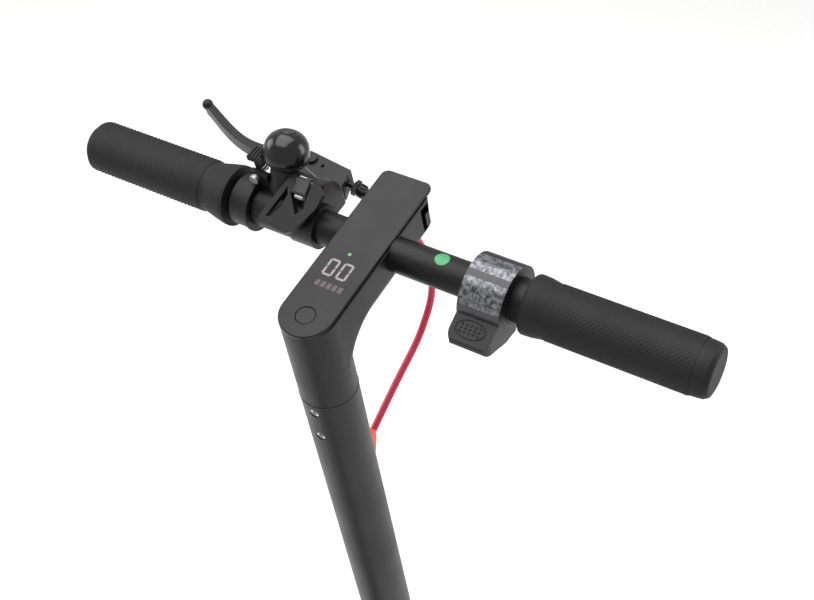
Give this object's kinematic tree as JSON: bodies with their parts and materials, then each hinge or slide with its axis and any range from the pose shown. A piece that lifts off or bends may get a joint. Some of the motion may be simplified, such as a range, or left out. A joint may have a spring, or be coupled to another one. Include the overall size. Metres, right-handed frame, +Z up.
{
  "type": "electric kick scooter",
  "caption": "Folding electric kick scooter: deck on two wheels, hub motor in front, folding stem with dash display, brake lever, bell and thumb throttle.",
  "frame": {"origin": "on the ground under the middle of the overall length, on the centre plane", "axes": "+X forward, +Y to the rider's left, +Z up"},
  "size_m": [1.0724, 0.445, 1.1354],
  "materials": {
    "deck_alloy": "satin black powder coat",
    "stem_paint": "fine satin charcoal powder coat",
    "cover_steel": "matte black paint",
    "mat_rubber": "matte ribbed rubber",
    "grip_rubber": "matte studded rubber",
    "plug_rubber": "matte rubber",
    "battery_wrap": "heat-shrink wrap",
    "housing_plastic": "satin moulded plastic",
    "dash_plastic": "satin-gloss smoked panel",
    "board": "circuit board",
    "bright_steel": "zinc plated steel",
    "dark_steel": "dark steel",
    "disc_steel": "ground steel",
    "wheel_alloy": "satin black paint",
    "tyre": "tyre rubber",
    "brake_alloy": "satin black anodised",
    "bell_metal": "gloss black lacquer",
    "cable_red": "red cable housing",
    "grommet_orange": "orange-red soft rubber",
    "cap_reflector": "amber reflector plastic",
    "red_lens": "red lens",
    "clear_lens": "clear lens"
  },
  "bodies": {
    "deck": {"deck_frame": "deck_alloy", "deck_bottom_cover": "cover_steel", "foot_mat": "mat_rubber", "battery_pack": "battery_wrap", "controller_box": "housing_plastic", "charge_port": "housing_plastic", "kickstand_bracket": "deck_alloy", "rear_axle": "bright_steel", "rear_axle_caps": "cap_reflector", "brake_caliper": "brake_alloy", "rear_cable": "cable_red", "rear_fender": "housing_plastic", "fender_hook": "brake_alloy", "tail_light_lens": "red_lens", "headset_cups": "dark_steel"},
    "charge_cap": {"charge_cap": "plug_rubber"},
    "kickstand": {"kickstand": "cover_steel"},
    "rear_wheel": {"rear_rim": "wheel_alloy", "rear_tyre": "tyre", "rear_bearings": "bright_steel", "brake_disc": "disc_steel"},
    "caliper_arm": {"caliper_arm": "brake_alloy"},
    "steering": {"fork": "deck_alloy", "front_fender": "housing_plastic", "front_axle": "bright_steel", "front_axle_caps": "cap_reflector", "motor_stator": "dark_steel", "fold_base": "deck_alloy", "fold_pins": "bright_steel"},
    "front_wheel": {"motor_hub_shell": "wheel_alloy", "motor_side_cover": "wheel_alloy", "motor_bearings": "bright_steel", "front_tyre": "tyre"},
    "fold_lever": {"fold_lever": "brake_alloy"},
    "stem": {"stem_foot": "deck_alloy", "stem_tube": "stem_paint", "joint_screws": "bright_steel", "cable_grommet": "grommet_orange", "stem_head": "stem_paint", "headlight_body": "housing_plastic", "headlight_lens": "clear_lens", "dash_cover": "dash_plastic", "dash_board": "board", "handlebar": "stem_paint", "grip_left": "grip_rubber", "grip_right": "grip_rubber", "bar_spacer": "housing_plastic", "throttle_housing": "housing_plastic", "lever_bracket": "brake_alloy", "cable_adjuster": "brake_alloy", "brake_cable": "cable_red", "bell_clamp": "housing_plastic", "bell_dome": "bell_metal", "bell_pins": "bright_steel"},
    "safety_catch": {"safety_catch": "brake_alloy"},
    "brake_lever": {"brake_lever": "brake_alloy"},
    "bell_striker": {"bell_striker": "housing_plastic"},
    "hook_loop": {"hook_loop": "housing_plastic"},
    "throttle_paddle": {"throttle_paddle": "housing_plastic"},
    "power_button": {"power_button": "dash_plastic"}
  },
  "joints": [
    {"name": "steering_turn", "type": "hinge", "parent": "deck", "child": "steering", "pos_m": [0.38493, 0, 0.30326], "axis": [-0.2164, 0, 0.9763], "range_deg": [-45, 45]},
    {"name": "front_wheel_spin", "type": "hinge", "parent": "steering", "child": "front_wheel", "pos_m": [0.42821, 0, 0.108], "axis": [0, 1, 0], "continuous": true},
    {"name": "rear_wheel_spin", "type": "hinge", "parent": "deck", "child": "rear_wheel", "pos_m": [-0.41179, 0, 0.108], "axis": [0, 1, 0], "continuous": true},
    {"name": "stem_fold", "type": "hinge", "parent": "steering", "child": "stem", "pos_m": [0.33887, 0, 0.38626], "axis": [0, -1, 0], "range_deg": [0, 88]},
    {"name": "fold_lever_swing", "type": "hinge", "parent": "steering", "child": "fold_lever", "pos_m": [0.40102, 0, 0.37853], "axis": [0, 1, 0], "range_deg": [0, 95]},
    {"name": "safety_catch_slide", "type": "slide", "parent": "stem", "child": "safety_catch", "axis": [0.2164, 0, -0.9763], "range_m": [0, 0.008]},
    {"name": "brake_lever_pull", "type": "hinge", "parent": "stem", "child": "brake_lever", "pos_m": [0.32396, 0.073, 1.08794], "axis": [-0.2756, 0, 0.9613], "range_deg": [0, 14], "stiffness_Nm_per_rad": 1, "springref_deg": -5.73},
    {"name": "caliper_arm_turn", "type": "hinge", "parent": "deck", "child": "caliper_arm", "pos_m": [-0.38196, 0.0472, 0.1546], "axis": [0, 1, 0], "range_deg": [0, 14]},
    {"name": "bell_striker_flick", "type": "hinge", "parent": "stem", "child": "bell_striker", "pos_m": [0.28432, 0.0825, 1.10466], "axis": [-0.9613, 0, -0.2756], "range_deg": [0, 22], "stiffness_Nm_per_rad": 0.02, "springref_deg": -5.73},
    {"name": "hook_loop_swing", "type": "hinge", "parent": "stem", "child": "hook_loop", "pos_m": [0.28157, 0.048, 1.10798], "axis": [0, 1, 0], "range_deg": [0, 55], "stiffness_Nm_per_rad": 0.01, "springref_deg": -8.59},
    {"name": "throttle_press", "type": "hinge", "parent": "stem", "child": "throttle_paddle", "pos_m": [0.27995, -0.081, 1.08], "axis": [0, -1, 0], "range_deg": [0, 33], "stiffness_Nm_per_rad": 0.15, "springref_deg": -8.59},
    {"name": "power_button_press", "type": "slide", "parent": "stem", "child": "power_button", "axis": [0.2756, 0, -0.9613], "range_m": [0, 0.0008], "stiffness_N_per_m": 600, "springref_m": -0.0002},
    {"name": "kickstand_swing", "type": "hinge", "parent": "deck", "child": "kickstand", "pos_m": [0.03321, 0.08, 0.079], "axis": [0, 1, 0], "range_deg": [0, 105]},
    {"name": "charge_cap_lift", "type": "hinge", "parent": "deck", "child": "charge_cap", "pos_m": [0.16921, -0.0764, 0.1245], "axis": [-1, 0, 0], "range_deg": [0, 90]}
  ],
  "couplings": [
    {"joint": "caliper_arm_turn", "follows": "brake_lever_pull", "ratio": 1}
  ]
}
